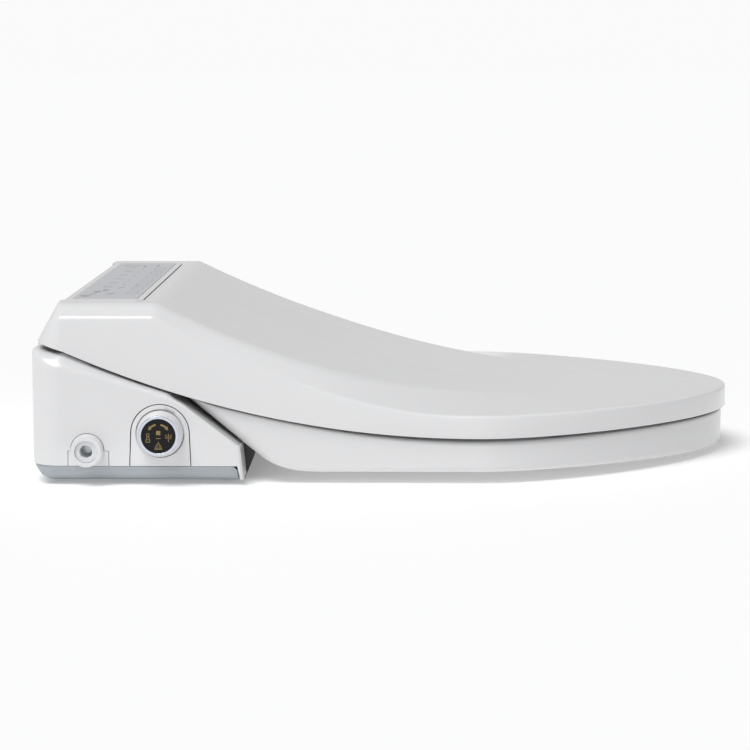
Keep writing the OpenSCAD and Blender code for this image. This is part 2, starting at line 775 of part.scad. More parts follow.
// ---- dryer and deodoriser ----
blower_x = -8;
blower_z = 42;
module fan_wheel(x, z, r, hub, y0, y1, blades) {
  bar(x, z, hub, y0, y1);
  bar(x, z, r, y0, y0 + 1.5);
  for (i = [0 : blades - 1])
    translate([x, 0, z]) rotate([0, i * 360 / blades, 0])
      translate([hub - 0.5, y0, -0.6]) cube([r - hub, y1 - y0, 1.2]);
}
module dryer_blower() {
  color([0.3, 0.31, 0.33])
  difference() {
    union() {
      bar(blower_x, blower_z, 31, 52, 88);
      box([blower_x, 54, 34], [26, 86, 56]);
    }
    bar(blower_x, blower_z, 28.5, 54.5, 85.5);
    box([blower_x, 56.5, 36.5], [27, 83.5, 53.5]);
    bar(blower_x, blower_z, 12, 51, 56);
    bar(blower_x, blower_z, 2 + play, 80, 90);
  }
}
module dryer_impeller() {
  color([0.75, 0.76, 0.78])
  union() {
    fan_wheel(blower_x, blower_z, 25, 7, 57, 82, 12);
    bar(blower_x, blower_z, 2, 81, 96);
  }
}
module dryer_motor() {
  color("silver")
  difference() {
    bar(blower_x, blower_z, 14, 88.1, 108);
    bar(blower_x, blower_z, 2 + play, 88, 97);
  }
}
module dryer_duct() {
  color([0.45, 0.46, 0.48])
  difference() {
    along_y(52, 88) polygon([[26.1, 34], [93, 5], [93, 17.5], [26.1, 56]]);
    along_y(54.5, 85.5) polygon([[26, 36.6], [94, 7.2], [94, 14.8], [26, 53.4]]);
  }
}
module dryer_heater() {
  color([0.7, 0.55, 0.4])
  union() {
    for (i = [0 : 4]) box([36 + 3 * i, 57, 36.5 - i], [37 + 3 * i, 83, 42.5 - i]);
    box([35, 69, 37.5], [50, 71, 39]);
  }
}
module dryer_flap() {
  color([0.12, 0.12, 0.13])
  union() {
    bar(95.6, 16, 1, 49.4, 90.6);
    box([95, 50.5, 5.4], [96.2, 89.5, 16]);
  }
}
module deodorizer_case() {
  color([0.85, 0.86, 0.87])
  difference() {
    box([-34.6, 118, 14], [6, 191, 56]);
    box([-32.4, 146, 17.6], [2.4, 192, 52.4]);
    bar(-15, 35, 17, 120.5, 143.5);
    bar(-15, 35, 10, 142, 147);
    bar(-15, 35, 10, 117, 122);
  }
}
module deodorizer_fan() {
  color([0.35, 0.36, 0.38]) fan_wheel(-15, 35, 15, 4, 123, 141, 9);
}
module deodorizer_filter() {
  color([0.9, 0.9, 0.91])
  difference() {
    box([-32, 146.5, 18], [2, housing_half, 52]);
    box([-29, 149, 21], [-1, 188, 53]);
    box([-20, housing_half - 1.5, 22], [-10, housing_half + 1, 26]);
  }
}

// ---- electronics ----
module main_board() {
  color("darkgreen")
  union() {
    box([-44, -120, 96], [4, 40, 97.6]);
    for (i = [0 : 3]) box([-40 + 2 * i, -110 + 34 * i, 97.6], [-24 + 2 * i, -92 + 34 * i, 104]);
    for (i = [0 : 2]) translate([-10, -95 + 40 * i, 97.6]) cylinder(r = 6, h = 9);
  }
}
module transformer() {
  color([0.5, 0.42, 0.3]) box([-40, 80, 82], [-4, 118, 104]);
}
module cord_gland() {
  color([0.15, 0.15, 0.16])
  difference() {
    translate([rear_x, 150, 30]) rotate([0, 90, 0]) cylinder(r = 8, h = 10);
    translate([rear_x - 1, 150, 30]) rotate([0, 90, 0]) cylinder(r = 3.5, h = 12);
  }
}

// ---- mounting ----
module mount_plate() {
  color([0.55, 0.57, 0.6])
  difference() {
    box([-44, -plate_half, 0], [43, plate_half, plate_h]);
    for (s = [-1, 1]) translate([0, s * bolt_spacing / 2, -1]) linear_extrude(plate_h + 2) {
      square([2 * bolt_slot_r, slot_len - 2 * bolt_slot_r], center = true);
      for (e = [-1, 1]) translate([0, e * (slot_len / 2 - bolt_slot_r)]) circle(bolt_slot_r);
    }
  }
}
module release_button() {
  color([0.8, 0.81, 0.83])
  union() {
    box([60, housing_half - 8, 16], [80, housing_half - 0.1, 26]);
    box([66, 140, 18], [74, housing_half - 8, 23]);
  }
}

// ---- what is drawn ----
housing_cover();
base_tray();
front_fascia();
panel_frame();
panel_label();
display_window();
dial_panel();
dial_encoder();
dial_knob();
dial_ring();
dial_shaft();
dial_face();
dial_icons();
inlet_panel();
inlet_nipple();
inlet_strainer();
hinge_pins();
seat_damper();
lid_damper();
lid_shell();
lid_bumpers();
seat_top();
seat_bottom();
seat_heater();
seat_arms();
seat_bumpers();
seat_sensor();
nozzle_carrier();
wash_nozzle();
wash_tip();
wash_pinion();
bidet_nozzle();
bidet_tip();
bidet_pinion();
nozzle_motors();
solenoid_valve();
inlet_hose();
water_tank();
tank_heater();
diverter_valve();
wash_hose();
dryer_blower();
dryer_impeller();
dryer_motor();
dryer_duct();
dryer_heater();
dryer_flap();
deodorizer_case();
deodorizer_fan();
deodorizer_filter();
main_board();
panel_board();
transformer();
cord_gland();
mount_plate();
release_button();
base_pads();
base_screws();
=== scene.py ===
"""The electric bidet seat's looks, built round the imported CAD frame.

Shapes are drawn in millimetres. The camera, the lights and the floor are in metres.
"""
import json
import math

import bmesh
import bpy
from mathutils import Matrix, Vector

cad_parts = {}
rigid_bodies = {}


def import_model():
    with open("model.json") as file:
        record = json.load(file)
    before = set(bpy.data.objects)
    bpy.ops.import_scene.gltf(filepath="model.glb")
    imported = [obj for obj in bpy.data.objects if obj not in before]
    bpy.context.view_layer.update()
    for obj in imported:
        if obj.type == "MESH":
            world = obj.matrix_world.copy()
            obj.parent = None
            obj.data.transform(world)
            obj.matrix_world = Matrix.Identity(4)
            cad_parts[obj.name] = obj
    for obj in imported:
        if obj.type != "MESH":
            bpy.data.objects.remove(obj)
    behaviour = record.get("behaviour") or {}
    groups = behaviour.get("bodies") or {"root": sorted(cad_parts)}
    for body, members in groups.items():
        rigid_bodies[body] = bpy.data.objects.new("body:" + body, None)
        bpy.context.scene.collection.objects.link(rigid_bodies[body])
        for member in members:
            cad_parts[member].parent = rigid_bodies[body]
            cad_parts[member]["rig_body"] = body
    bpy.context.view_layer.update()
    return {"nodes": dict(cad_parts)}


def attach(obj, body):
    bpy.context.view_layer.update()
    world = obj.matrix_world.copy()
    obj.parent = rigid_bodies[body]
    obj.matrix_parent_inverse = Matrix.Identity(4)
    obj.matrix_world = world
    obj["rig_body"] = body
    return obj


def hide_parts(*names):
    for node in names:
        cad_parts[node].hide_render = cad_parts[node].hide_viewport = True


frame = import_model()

MM = 0.001
HINGE_X, HINGE_Z = -31, 116.5


# ------------------------------------------------------------------ camera
def make_camera():
    data = bpy.data.cameras.new("camera")
    data.lens = 116.15
    data.sensor_width = 36
    data.clip_start = 0.05
    cam = bpy.data.objects.new("camera", data)
    cam.location = (0.21785, -1.89582, 0.30742)
    cam.rotation_euler = (math.pi / 2 - 0.13299, 0, 0.01528)
    bpy.context.scene.collection.objects.link(cam)
    bpy.context.scene.camera = cam


# ------------------------------------------------------------------ materials
def node_kit(name):
    """A new material with its Principled shader, and a maker of nodes."""
    mat = bpy.data.materials.new(name)
    mat.use_nodes = True
    tree = mat.node_tree
    shader = tree.nodes["Principled BSDF"]

    def make(kind, **sockets):
        n = tree.nodes.new(kind)
        for key, value in sockets.items():
            n.inputs[key.replace("_", " ")].default_value = value
        return n

    return mat, shader, make, tree.links.new


def moulded(name, colour, rough=0.25, coat=0.0, mottle=0.012, grain=900.0, bump=0.02, spec=0.5):
    """Moulded plastic: faint colour drift, uneven polish and a fine mould grain."""
    mat, shader, make, link = node_kit(name)
    place = make("ShaderNodeTexCoord")
    drift = make("ShaderNodeTexNoise", Scale=9.0, Detail=3.0)
    polish = make("ShaderNodeTexNoise", Scale=55.0, Detail=4.0)
    fine = make("ShaderNodeTexNoise", Scale=grain, Detail=2.0)
    for n in (drift, polish, fine):
        link(place.outputs["Object"], n.inputs["Vector"])
    ramp = make("ShaderNodeValToRGB")
    ramp.color_ramp.elements[0].position = 0.3
    ramp.color_ramp.elements[1].position = 0.7
    low = [c * (1 - mottle) for c in colour]
    high = [min(1.0, c * (1 + mottle)) for c in colour]
    ramp.color_ramp.elements[0].color = (*low, 1)
    ramp.color_ramp.elements[1].color = (*high, 1)
    link(drift.outputs["Fac"], ramp.inputs["Fac"])
    link(ramp.outputs["Color"], shader.inputs["Base Color"])
    span = make("ShaderNodeMapRange", To_Min=rough * 0.88, To_Max=rough * 1.12)
    link(polish.outputs["Fac"], span.inputs["Value"])
    link(span.outputs["Result"], shader.inputs["Roughness"])
    relief = make("ShaderNodeBump", Strength=bump, Distance=0.0002)
    link(fine.outputs["Fac"], relief.inputs["Height"])
    link(relief.outputs["Normal"], shader.inputs["Normal"])
    shader.inputs["Specular IOR Level"].default_value = spec
    shader.inputs["Coat Weight"].default_value = coat
    shader.inputs["Coat Roughness"].default_value = 0.08
    return mat


def metal(name, colour, rough=0.25, streak=400.0, bump=0.03):
    """Drawn or plated metal with fine streaks round its polish."""
    mat, shader, make, link = node_kit(name)
    place = make("ShaderNodeTexCoord")
    scale = make("ShaderNodeMapping")
    scale.inputs["Scale"].default_value = (1, 0.06, 1)
    lines = make("ShaderNodeTexNoise", Scale=streak, Detail=3.0)
    link(place.outputs["Object"], scale.inputs["Vector"])
    link(scale.outputs["Vector"], lines.inputs["Vector"])
    ramp = make("ShaderNodeValToRGB")
    ramp.color_ramp.elements[0].color = (*[c * 0.9 for c in colour], 1)
    ramp.color_ramp.elements[1].color = (*[min(1.0, c * 1.06) for c in colour], 1)
    link(lines.outputs["Fac"], ramp.inputs["Fac"])
    link(ramp.outputs["Color"], shader.inputs["Base Color"])
    span = make("ShaderNodeMapRange", To_Min=rough * 0.8, To_Max=rough * 1.25)
    link(lines.outputs["Fac"], span.inputs["Value"])
    link(span.outputs["Result"], shader.inputs["Roughness"])
    relief = make("ShaderNodeBump", Strength=bump, Distance=0.0001)
    link(lines.outputs["Fac"], relief.inputs["Height"])
    link(relief.outputs["Normal"], shader.inputs["Normal"])
    shader.inputs["Metallic"].default_value = 1.0
    return mat


def circuit(name):
    """Green board with darker tracks."""
    mat, shader, make, link = node_kit(name)
    place = make("ShaderNodeTexCoord")
    tracks = make("ShaderNodeTexBrick", Scale=60.0, Mortar_Size=0.03)
    tracks.inputs["Color1"].default_value = (0.02, 0.16, 0.07, 1)
    tracks.inputs["Color2"].default_value = (0.025, 0.19, 0.08, 1)
    tracks.inputs["Mortar"].default_value = (0.06, 0.3, 0.14, 1)
    link(place.outputs["Object"], tracks.inputs["Vector"])
    link(tracks.outputs["Color"], shader.inputs["Base Color"])
    relief = make("ShaderNodeBump", Strength=0.2, Distance=0.0002)
    link(tracks.outputs["Fac"], relief.inputs["Height"])
    link(relief.outputs["Normal"], shader.inputs["Normal"])
    shader.inputs["Roughness"].default_value = 0.45
    return mat


M = {}


def make_materials():
    M["white"] = moulded("gloss_white", (0.80, 0.80, 0.805), 0.24, coat=0.25)
    M["lid"] = moulded("lid_white", (0.82, 0.82, 0.825), 0.22, coat=0.3)
    M["seat"] = moulded("seat_white", (0.79, 0.79, 0.795), 0.24, coat=0.25)
    M["base"] = moulded("base_grey", (0.42, 0.455, 0.48), 0.42, mottle=0.03, bump=0.08)
    # painted shade: the front wall under the seat is given a near-black colour standing for the shadow that
    # falls there; the dryer flap shares it
    M["fascia"] = moulded("fascia_black", (0.012, 0.012, 0.014), 0.3, mottle=0.1)
    M["label"] = moulded("label_grey", (0.56, 0.565, 0.59), 0.34, mottle=0.015, bump=0.05)
    M["window"] = moulded("window_black", (0.01, 0.01, 0.013), 0.08, coat=1.0, mottle=0.1)
    M["dial_black"] = moulded("dial_black", (0.008, 0.008, 0.009), 0.12, mottle=0.1, spec=0.2)
    M["ring"] = metal("dial_silver", (0.68, 0.72, 0.80), 0.2)
    M["gilt"] = metal("icon_gilt", (0.33, 0.245, 0.11), 0.45)
    M["ink"] = moulded("printed_ink", (0.09, 0.095, 0.11), 0.4, mottle=0.08)
    M["pale_ink"] = moulded("pale_ink", (0.36, 0.37, 0.39), 0.4, mottle=0.05)
    M["nipple"] = moulded("nipple_grey", (0.76, 0.78, 0.80), 0.35, mottle=0.03)
    M["grey"] = moulded("inner_grey", (0.13, 0.14, 0.15), 0.5, mottle=0.08, bump=0.1)
    M["pale"] = moulded("inner_pale", (0.66, 0.67, 0.66), 0.42, mottle=0.03, bump=0.06)
    M["steel"] = metal("steel", (0.60, 0.60, 0.61), 0.3)
    M["copper"] = metal("copper", (0.62, 0.36, 0.22), 0.35)
    M["rubber"] = moulded("rubber_grey", (0.20, 0.205, 0.21), 0.75, mottle=0.06, bump=0.2, spec=0.3)
    M["board"] = circuit("board_green")
    M["hose"] = moulded("hose_clear", (0.68, 0.68, 0.63), 0.3, mottle=0.03)


# ------------------------------------------------------------------ mesh helpers
def piece(name, verts, faces, body, mat, replaces=(), sharp=40):
    """A new piece from points in millimetres."""
    mesh = bpy.data.meshes.new(name)
    mesh.from_pydata([Vector(v) * MM for v in verts], [], faces)
    return finish_piece(name, mesh, body, mat, replaces, sharp)


def shade(mesh, sharp):
    """Smooth faces, with edges sharper than an angle in degrees kept sharp."""
    mesh.polygons.foreach_set("use_smooth", [True] * len(mesh.polygons))
    mesh.set_sharp_from_angle(angle=math.radians(sharp))


def final_mesh(obj):
    """A new mesh of the object with its modifiers made final."""
    graph = bpy.context.evaluated_depsgraph_get()
    return bpy.data.meshes.new_from_object(obj.evaluated_get(graph))


def finish_piece(name, mesh, body, mat, replaces=(), sharp=40):
    """The mesh cleaned, shaded and linked as a piece that rides a body."""
    bm = bmesh.new()
    bm.from_mesh(mesh)
    bmesh.ops.remove_doubles(bm, verts=bm.verts, dist=1e-6)
    bmesh.ops.dissolve_degenerate(bm, edges=bm.edges, dist=1e-7)
    bmesh.ops.recalc_face_normals(bm, faces=bm.faces)
    bm.to_mesh(mesh)
    bm.free()
    obj = bpy.data.objects.new(name, mesh)
    bpy.context.scene.collection.objects.link(obj)
    mesh.materials.clear()
    mesh.materials.append(mat)
    shade(mesh, sharp)
    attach(obj, body)
    if replaces:
        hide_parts(*replaces)
    return obj


def round_edges(obj, width, angle=35, segments=3):
    mod = obj.modifiers.new("round_edges", "BEVEL")
    mod.width = width * MM
    mod.segments = segments
    mod.limit_method = "ANGLE"
    mod.angle_limit = math.radians(angle)
    mod.harden_normals = True
    return obj


def thicken(obj, depth):
    mod = obj.modifiers.new("wall", "SOLIDIFY")
    mod.thickness = depth * MM
    mod.offset = -1
    mod.use_even_offset = False
    mod.thickness_clamp = 1.0
    return obj


def even_shading(obj):
    """Large faces keep their own direction beside small fillets."""
    mod = obj.modifiers.new("even_shading", "WEIGHTED_NORMAL")
    mod.keep_sharp = True
    mod.weight = 80
    return obj


def refined(node, mat, width=0.5, angle=35):
    """A copy of a CAD node with its flat faces joined up and its edges rounded."""
    source = frame["nodes"][node]
    mesh = source.data.copy()
    bm = bmesh.new()
    bm.from_mesh(mesh)
    bmesh.ops.remove_doubles(bm, verts=bm.verts, dist=1e-6)
    bmesh.ops.dissolve_limit(bm, angle_limit=math.radians(1.5), verts=bm.verts, edges=bm.edges)
    bm.to_mesh(mesh)
    bm.free()
    obj = finish_piece(node + "_fine", mesh, source["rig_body"], mat, (node,), 30)
    return round_edges(obj, width, angle)


def grid_faces(rows, columns, wrap_rows=False, wrap_columns=False):
    faces = []
    for i in range(rows if wrap_rows else rows - 1):
        for j in range(columns if wrap_columns else columns - 1):
            a = i * columns + j
            b = i * columns + (j + 1) % columns
            c = ((i + 1) % rows) * columns + (j + 1) % columns
            d = ((i + 1) % rows) * columns + j
            faces.append((a, b, c, d))
    return faces


def bezier(p, t):
    a, b, c, d = (Vector(q) for q in p)
    u = 1 - t
    return a * u ** 3 + b * 3 * u * u * t + c * 3 * u * t * t + d * t ** 3


def rounded(points, radii, steps=5):
    """An open run of 3D points whose inner corners are replaced by short curves."""
    pts = [Vector(p) for p in points]
    out = [pts[0]]
    for i in range(1, len(pts) - 1):
        back, on = pts[i - 1] - pts[i], pts[i + 1] - pts[i]
        r = min(radii[i - 1], back.length * 0.48, on.length * 0.48)
        a = pts[i] + (back.normalized() * r if back.length > 1e-6 else Vector())
        b = pts[i] + (on.normalized() * r if on.length > 1e-6 else Vector())
        for k in range(steps + 1):
            t = k / steps
            out.append(a * (1 - t) ** 2 + pts[i] * 2 * t * (1 - t) + b * t * t)
    out.append(pts[-1])
    return out


def smooth(t):
    """0 below 0, 1 above 1, and a smooth step between."""
    t = min(1.0, max(0.0, t))
    return t * t * (3 - 2 * t)


def cutter(points, axis, low, high):
    """A prism for cutting: points in X and Z run along Y, or points in Y and Z run along X."""
    n = len(points)
    ends = []
    for d in (low, high):
        ends += [Vector((p[0], d, p[1]) if axis == "Y" else (d, p[0], p[1])) * MM for p in points]
    faces = [tuple(range(n)), tuple(range(2 * n - 1, n - 1, -1))]
    faces += [(i, n + i, n + (i + 1) % n, (i + 1) % n) for i in range(n)]
    mesh = bpy.data.meshes.new("cutter")
    mesh.from_pydata(ends, [], faces)
    bm = bmesh.new()
    bm.from_mesh(mesh)
    bmesh.ops.recalc_face_normals(bm, faces=bm.faces)
    bm.to_mesh(mesh)
    bm.free()
    obj = bpy.data.objects.new("cutter", mesh)
    bpy.context.scene.collection.objects.link(obj)
    return obj


HOUSING_SHARP = 34


def cut_out(obj, cutters):
    """The piece with its modifiers made final and the cutters' shapes taken away."""
    for tool in cutters:
        mod = obj.modifiers.new("hole", "BOOLEAN")
        mod.operation = "DIFFERENCE"
        mod.solver = "EXACT"
        mod.object = tool
    mesh = final_mesh(obj)
    obj.modifiers.clear()
    obj.data = mesh
    for tool in cutters:
        bpy.data.objects.remove(tool)
    shade(mesh, HOUSING_SHARP)
    return obj


def circle_points(x, z, r, n=48):
    return [(x + r * math.cos(2 * math.pi * k / n), z + r * math.sin(2 * math.pi * k / n)) for k in range(n)]


def rectangle(x0, z0, x1, z1):
    return [(x0, z0), (x1, z0), (x1, z1), (x0, z1)]


# ------------------------------------------------------------------ lid and seat curves (mm)
BOWED_X, TIP_X, LID_HALF, CUT_X, CUT_HALF = 268.0, 464.6, 190.0, 24.3, 154.3


def front_curve(d):
    return [(BOWED_X, LID_HALF - d), (BOWED_X + 59, LID_HALF - d), (TIP_X - d, 86 - d / 3), (TIP_X - d, 0)]


def lid_low(x):
    return 33.2 + 66.2 * (max(0.0, BOWED_X - x) / 308) ** 2.075


LID_TOP, LID_RIM_TOP = 129.0, 119.4


def lid_rim(x):
    return LID_RIM_TOP if x < 36 else 49.6 + 69.8 * (max(0.0, 250 - x) / 214) ** 1.75


def lid_crease(x):
    return LID_TOP if x < 36 else 50.6 + 78.4 * (max(0.0, 390 - x) / 354) ** 2.25


CREASE = [(CUT_X, 178.5), (36, 179), (88, 181), (150, 173), (190, 158), (230, 138), (270, 116),
          (320, 88), (362, 50), (379, 6)]


def through(points, t):
    """A Catmull-Rom curve, with t counted in points."""
    i = min(int(t), len(points) - 2)
    u = t - i
    a, b, c, d = (Vector(points[min(max(k, 0), len(points) - 1)]) for k in (i - 1, i, i + 1, i + 2))
    if i == len(points) - 2:
        d = Vector((c.x, -b.y))
    return 0.5 * (2 * b + (c - a) * u + (2 * a - 5 * b + 4 * c - d) * u * u
                  + (3 * b - a - 3 * c + d) * u ** 3)


def lid_station(s):
    """Outer edge and crease, seen from above, at s from 0 at the cut-out to 1 at the tip."""
    last = len(CREASE) - 1
    if s <= 0.5:
        crease = through(CREASE, (last - 3) * s / 0.5)
        return Vector((crease.x, LID_HALF)), crease
    t = (s - 0.5) / 0.5
    return bezier(front_curve(0), t), through(CREASE, last - 3 + 3 * t)


def lid_half_section(s, shelf):
    """From the lower edge over the rim and the crease to the shelf line."""
    outer, crease = lid_station(s)
    low = Vector((outer.x, outer.y, lid_low(outer.x)))
    rim = Vector((outer.x, outer.y, lid_rim(outer.x)))
    top = Vector((crease.x, crease.y, lid_crease(crease.x)))
    inner = Vector((crease.x, shelf, lid_crease(crease.x)))
    return rounded([low, rim, top, inner], [2.8, 7.0], 7)


def flipped(row):
    """The same points on the other side."""
    return [Vector((p.x, -p.y, p.z)) for p in row]


def mirrored(half):
    """A half section with y >= 0, run on across the middle to the other side."""
    return list(half) + flipped(reversed(half))


# ------------------------------------------------------------------ lid
def lid_front_rows():
    """Sections across the lid, from the cut-out to the tip."""
    rows = []
    count = 72
    for k in range(count + 1):
        s = 0.9985 * k / count
        crease = lid_station(s)[1]
        inward = 0.0 if s > 0.5 else min(CUT_HALF, crease.y * 0.9)
        shelf = min(CUT_HALF, max(0.5 * crease.y, 0.97 * crease.y - 7.5))
        ends = [Vector((crease.x, y, lid_crease(crease.x))) for y in (shelf, shelf * 0.5)]
        rows.append(mirrored(lid_half_section(s, inward)[:-1] + ends))
    return rows


# how far the arm's lower edge, rim and crease reach behind the hinge line;
# the first is also the radius of the arm's corner
ARM_ROUND, ARM_RIM, ARM_CREASE = 20.5, 10.4, 5.0
ARM_REAR_LOW, ARM_CREASE_Y, ARM_DROP = 101.5, 178.5, 9.5


def lid_arm_rows():
    """Sections of one rear arm from the cut-out backwards, round its outer rear corner."""
    rows = []

    def row(low, rim, top, inner):
        rows.append(rounded([low, rim, top, inner], [2.8, 7.0], 7) + [inner - Vector((0, 0, ARM_DROP))])

    for k in range(9):
        x = CUT_X + (HINGE_X - CUT_X) * k / 8
        row(Vector((x, LID_HALF, lid_low(x))), Vector((x, LID_HALF, lid_rim(x))),
            Vector((x, ARM_CREASE_Y, LID_TOP)), Vector((x, CUT_HALF, LID_TOP)))
    axis_y = LID_HALF - ARM_ROUND
    side_low = lid_low(HINGE_X)
    for k in range(1, 11):
        a = math.pi / 2 * k / 10
        edge_y = axis_y + ARM_ROUND * math.cos(a)
        low_z = side_low + (ARM_REAR_LOW - side_low) * math.sin(a)
        crease_x = HINGE_X - ARM_CREASE * math.sin(a)
        row(Vector((HINGE_X - ARM_ROUND * math.sin(a), edge_y, low_z)),
            Vector((HINGE_X - ARM_RIM * math.sin(a), edge_y, LID_RIM_TOP)),
            Vector((crease_x, axis_y - 1 + 10.0 * math.cos(a), LID_TOP)),
            Vector((crease_x, CUT_HALF, LID_TOP)))
    for k in range(1, 5):
        y = axis_y + (CUT_HALF + 0.6 - axis_y) * k / 4
        crease_y = y - 0.5 if k < 4 else y
        row(Vector((HINGE_X - ARM_ROUND, y, ARM_REAR_LOW)), Vector((HINGE_X - ARM_RIM, y, LID_RIM_TOP)),
            Vector((HINGE_X - ARM_CREASE, crease_y, LID_TOP)),
            Vector((HINGE_X - ARM_CREASE, CUT_HALF, LID_TOP)))
    return rows


def make_lid():
    verts, faces = [], []

    def add(rows, flip=False):
        base, wide = len(verts), len(rows[0])
        for r in rows:
            verts.extend(r)
        for f in grid_faces(len(rows), wide):
            faces.append(tuple(base + i for i in (reversed(f) if flip else f)))

    front = lid_front_rows()
    add(front)
    # the tip closes across the middle
    tip, wide = (len(front) - 1) * len(front[0]), len(front[0])
    for j in range(wide // 2 - 1):
        faces.append((tip + j, tip + j + 1, tip + wide - 2 - j, tip + wide - 1 - j))
    arm = lid_arm_rows()
    add(arm)
    add([flipped(r) for r in arm], True)
    lid = piece("lid", verts, faces, "lid", M["lid"], ("lid_shell",), 32)
    return even_shading(thicken(lid, 3.0))


# ------------------------------------------------------------------ seat ring
SEAT_HALF = 187.0
HEEL_X, SEAT_REAR_X = 105.4, 50.7


def seat_top_z(x):
    """Height of the seat's rim; the gap below the lid's edge opens towards the front."""
    return max(31.6, lid_low(x) - 0.7 - 0.9 * smooth((x - 110) / 120))


def seat_under_z(x):
    if x <= 150:
        return 8.1 + 12.6 * ((150 - x) / (150 - HEEL_X)) ** 2.4
    return 8.1 if x <= 270 else 8.1 - 5.1 * ((x - 270) / (TIP_X - 270)) ** 2


def seat_outline(rear_x, corner, half, n_side=22, n_front=34, n_corner=8, n_rear=14):
    """Half outline seen from above, from the middle of the rear edge round to the tip."""
    pts = [Vector((rear_x, (half - corner) * k / n_rear)) for k in range(n_rear)]
    for k in range(n_corner + 1):
        a = math.pi / 2 * k / n_corner
        pts.append(Vector((rear_x + corner - corner * math.cos(a), half - corner + corner * math.sin(a))))
    begin = rear_x + corner
    pts += [Vector((begin + (BOWED_X - begin) * (k + 1) / n_side, half)) for k in range(n_side)]
    curve = [(BOWED_X, half), (BOWED_X + 59, half), (TIP_X - LID_HALF + half, 86 - (LID_HALF - half) / 3),
             (TIP_X - LID_HALF + half, 0)]
    pts += [bezier(curve, (k + 1) / n_front) for k in range(n_front)]
    return pts


OPENING_REAR, OPENING_FRONT, OPENING_HALF = 128, 404, 104
OPENING_MIDDLE = (OPENING_FRONT + OPENING_REAR) / 2


def opening_point(share):
    """A point of the long oval opening; share runs from its rear, 0, to its front, 1."""
    t = math.pi * (1 - share)
    half_length = (OPENING_FRONT - OPENING_REAR) / 2
    return Vector((OPENING_MIDDLE + half_length * math.cos(t),
                   OPENING_HALF * math.sin(t) * (1 - 0.12 * math.cos(t))))


def seat_sections():
    """Closed sections of one half of the ring, from the middle of its rear round to its tip."""
    out = []
    for u, v in zip(seat_outline(SEAT_REAR_X, 24, SEAT_HALF), seat_outline(HEEL_X, 24, SEAT_HALF)):
        angle = math.atan2(u.y, -(u.x - OPENING_MIDDLE) * 0.75) / math.pi
        inner = opening_point(min(1.0, max(0.0, angle)))
        outer_low = Vector((v.x, v.y, seat_under_z(v.x)))
        outer_top = Vector((u.x, u.y, seat_top_z(u.x)))
        inner_top = Vector((inner.x, inner.y, seat_top_z(inner.x) - 1.5))
        inner_low = Vector((inner.x, inner.y, seat_under_z(max(inner.x, 150)) + 0.6))
        mids = []
        for k in range(1, 8):
            p = outer_top.lerp(inner_top, k / 8)
            dish = 1.2 * math.sin(math.pi * k / 8)
            mids.append(Vector((p.x, p.y, seat_top_z(p.x) - dish - 1.5 * k / 8)))
        seam = inner_low.lerp(outer_low, 0.5)
        wall = rounded([seam, outer_low, outer_top] + mids + [inner_top, inner_low, seam],
                       [5.0, 4.5] + [0.0] * 7 + [9.0, 3.0], 5)
        # points that nearly meet are put in one place, to be joined when the piece is finished
        keep = [wall[0]]
        for p in wall[1:]:
            keep.append(p if (p - keep[-1]).length > 0.02 else keep[-1].copy())
        out.append(keep)
    return out


def make_seat():
    half = seat_sections()
    loop = half + [flipped(r) for r in reversed(half[1:-1])]
    verts = [p for r in loop for p in r]
    faces = grid_faces(len(loop), len(loop[0]), True, False)
    seat = piece("seat_ring", verts, faces, "seat", M["seat"], ("seat_top", "seat_bottom"), 38)
    return even_shading(seat)


# ------------------------------------------------------------------ housing
SIDE, REAR_X, CORNER = 195.0, -55.0, 22.0
BUMP_HALF, BAND = 153.5, 13.9
SHOULDER = [(-60, 91.9), (-40, 86.5), (-17.8, 80.9), (17, 71.5), (40, 64.7), (47, 62.3), (52, 59.9),
            (56.4, 57.3), (95.6, 27.4)]
REAR_TOP = 96.8
DIAL_X, DIAL_Z, INLET_X, INLET_Z = 38.6, 37.4, -13.6, 25.3
# the walls' holes: radii, and rectangles as lower X and Z, upper X and Z
DIAL_ARCH, DIAL_ARCH_FOOT, INLET_HOLE, GLAND_HOLE = 21.3, 22.3, 12.2, 8.2
INLET_WINDOW = (-27.6, BAND - 2, 2, 24.9)
FILTER_WINDOW = (-32.4, 17.6, 2.4, 52.4)
RELEASE_WINDOW = (59.6, 15.6, 80.4, 26.4)
GLAND_Y, GLAND_Z = 150, 30


def shoulder_z(x):
    x = min(max(x, SHOULDER[0][0]), SHOULDER[-1][0])
    for (xa, za), (xb, zb) in zip(SHOULDER, SHOULDER[1:]):
        if x <= xb:
            return za + (zb - za) * (x - xa) / (xb - xa)
    return SHOULDER[-1][1]


def ledge_rise(x, inset):
    """How far the ledge climbs above the shoulder, to end close below the lid's edge."""
    room = min(lid_low(x) - 1.3, 94.0) - shoulder_z(x)
    return max(0.0, room) * smooth((inset - 1) / 8) * smooth((50 - x) / 8)


def wall_section(spot, low, top, r, inner_points):
    """Up the wall at a spot, over the shoulder and on to the ledge's inner points."""
    x, y = spot
    base = Vector((x, y, low))
    edge = Vector((x, y, top))
    middle = base.lerp(edge, 0.5)
    ledge = [Vector(p) for p in inner_points]
    return [base, middle] + rounded([middle, edge, ledge[0]], [r], 7)[1:] + ledge[1:]


FRONT_X, FRONT_ROUND, STRIP_FOOT, STRIP_INNER_Y = 97.6, 2.2, 4.0, 163.6
INSETS = (6, 9, 14, 28, SIDE - BUMP_HALF - 0.3)
REAR_INSETS, REAR_DIPS = (8, 11, 15, 18, 21), (0.5, 2, 5, 7, 8)


